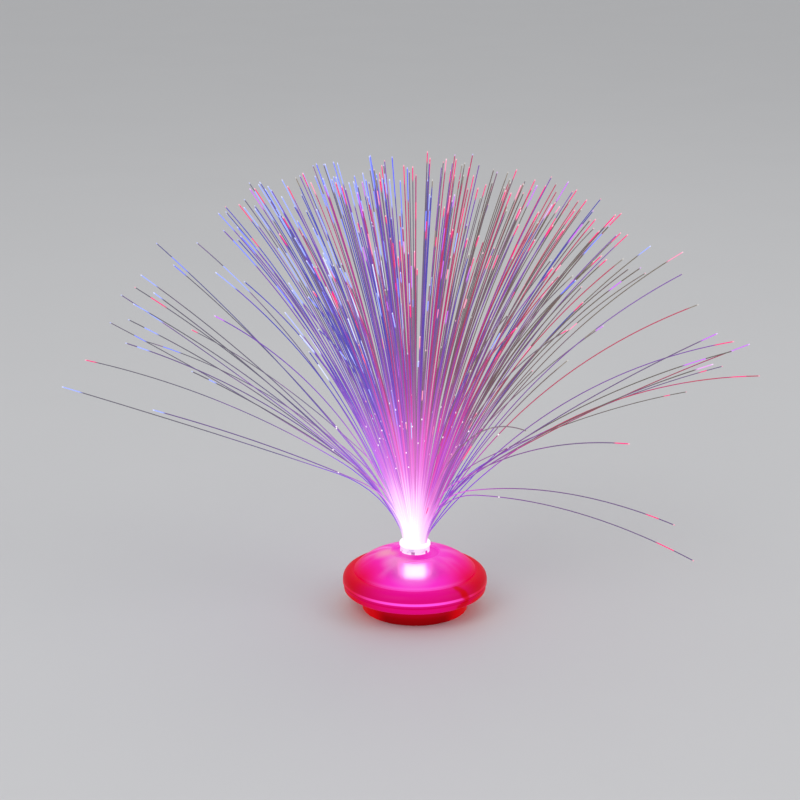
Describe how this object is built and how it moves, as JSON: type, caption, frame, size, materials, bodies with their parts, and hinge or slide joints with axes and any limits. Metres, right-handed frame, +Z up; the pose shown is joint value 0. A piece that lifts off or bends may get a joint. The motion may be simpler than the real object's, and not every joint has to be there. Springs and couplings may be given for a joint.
{
  "type": "fibre optic lamp",
  "caption": "Battery fibre optic lamp: a translucent saucer base lit from inside, a notched clear ferrule in its neck, and a wide spray of thin plastic strands with glowing tips.",
  "frame": {"origin": "centre of the foot, on the surface that the lamp stands on", "axes": "+Z up along the lamp's axis; -Y is the front; +X is to the right as seen from the front"},
  "size_m": [0.3866, 0.3812, 0.2689],
  "materials": {
    "shell_upper": "translucent pink-magenta plastic, gloss, lit from inside",
    "shell_lower": "translucent deep red plastic, gloss",
    "cover_plastic": "fine matt texture",
    "cell": "printed wrap, satin",
    "contact_metal": "nickel plated",
    "board": "resin bonded paper board, satin",
    "led": "clear moulded lens",
    "cup": "white, lit from inside",
    "chip": "moulded",
    "resistor": "glazed ceramic",
    "switch_metal": "bright plated",
    "switch_knob": "moulded",
    "screw": "zinc plated",
    "wire_red": "smooth insulation",
    "wire_black": "smooth insulation",
    "wire_white": "smooth insulation",
    "ferrule": "clear plastic, glowing",
    "fibre": "clear acrylic strand with glowing tip"
  },
  "bodies": {
    "base": {"upper_shell": "shell_upper", "lower_shell": "shell_lower", "bottom_cover": "cover_plastic", "battery_left": "cell", "battery_middle": "cell", "battery_right": "cell", "contact_plus": "contact_metal", "contact_minus": "contact_metal", "bridge_left": "contact_metal", "bridge_right": "contact_metal", "circuit_board": "board", "led_red": "led", "led_green": "led", "led_blue": "led", "light_cup": "cup", "control_chip": "chip", "resistors": "resistor", "switch_housing": "switch_metal", "switch_terminals": "contact_metal", "cover_screws": "screw", "shell_screws": "screw", "board_screws": "screw", "wire_red": "wire_red", "wire_black": "wire_black", "wire_switch": "wire_white"},
    "switch": {"switch_slider": "switch_knob"},
    "door": {"battery_door": "cover_plastic"},
    "spray": {"ferrule": "ferrule", "fibres_core": "fibre", "fibres_inner": "fibre", "fibres_middle": "fibre", "fibres_outer": "fibre", "fibres_edge": "fibre", "fibres_stray": "fibre"}
  },
  "joints": [
    {"name": "switch_slide", "type": "slide", "parent": "base", "child": "switch", "axis": [1, 0, 0], "range_m": [0, 0.0024]},
    {"name": "door_hinge", "type": "hinge", "parent": "base", "child": "door", "pos_m": [0, -0.0174, 0.00175], "axis": [-1, 0, 0], "range_deg": [0, 90]},
    {"name": "spray_lift", "type": "slide", "parent": "base", "child": "spray", "axis": [0, 0, 1], "range_m": [0, 0.03]}
  ]
}
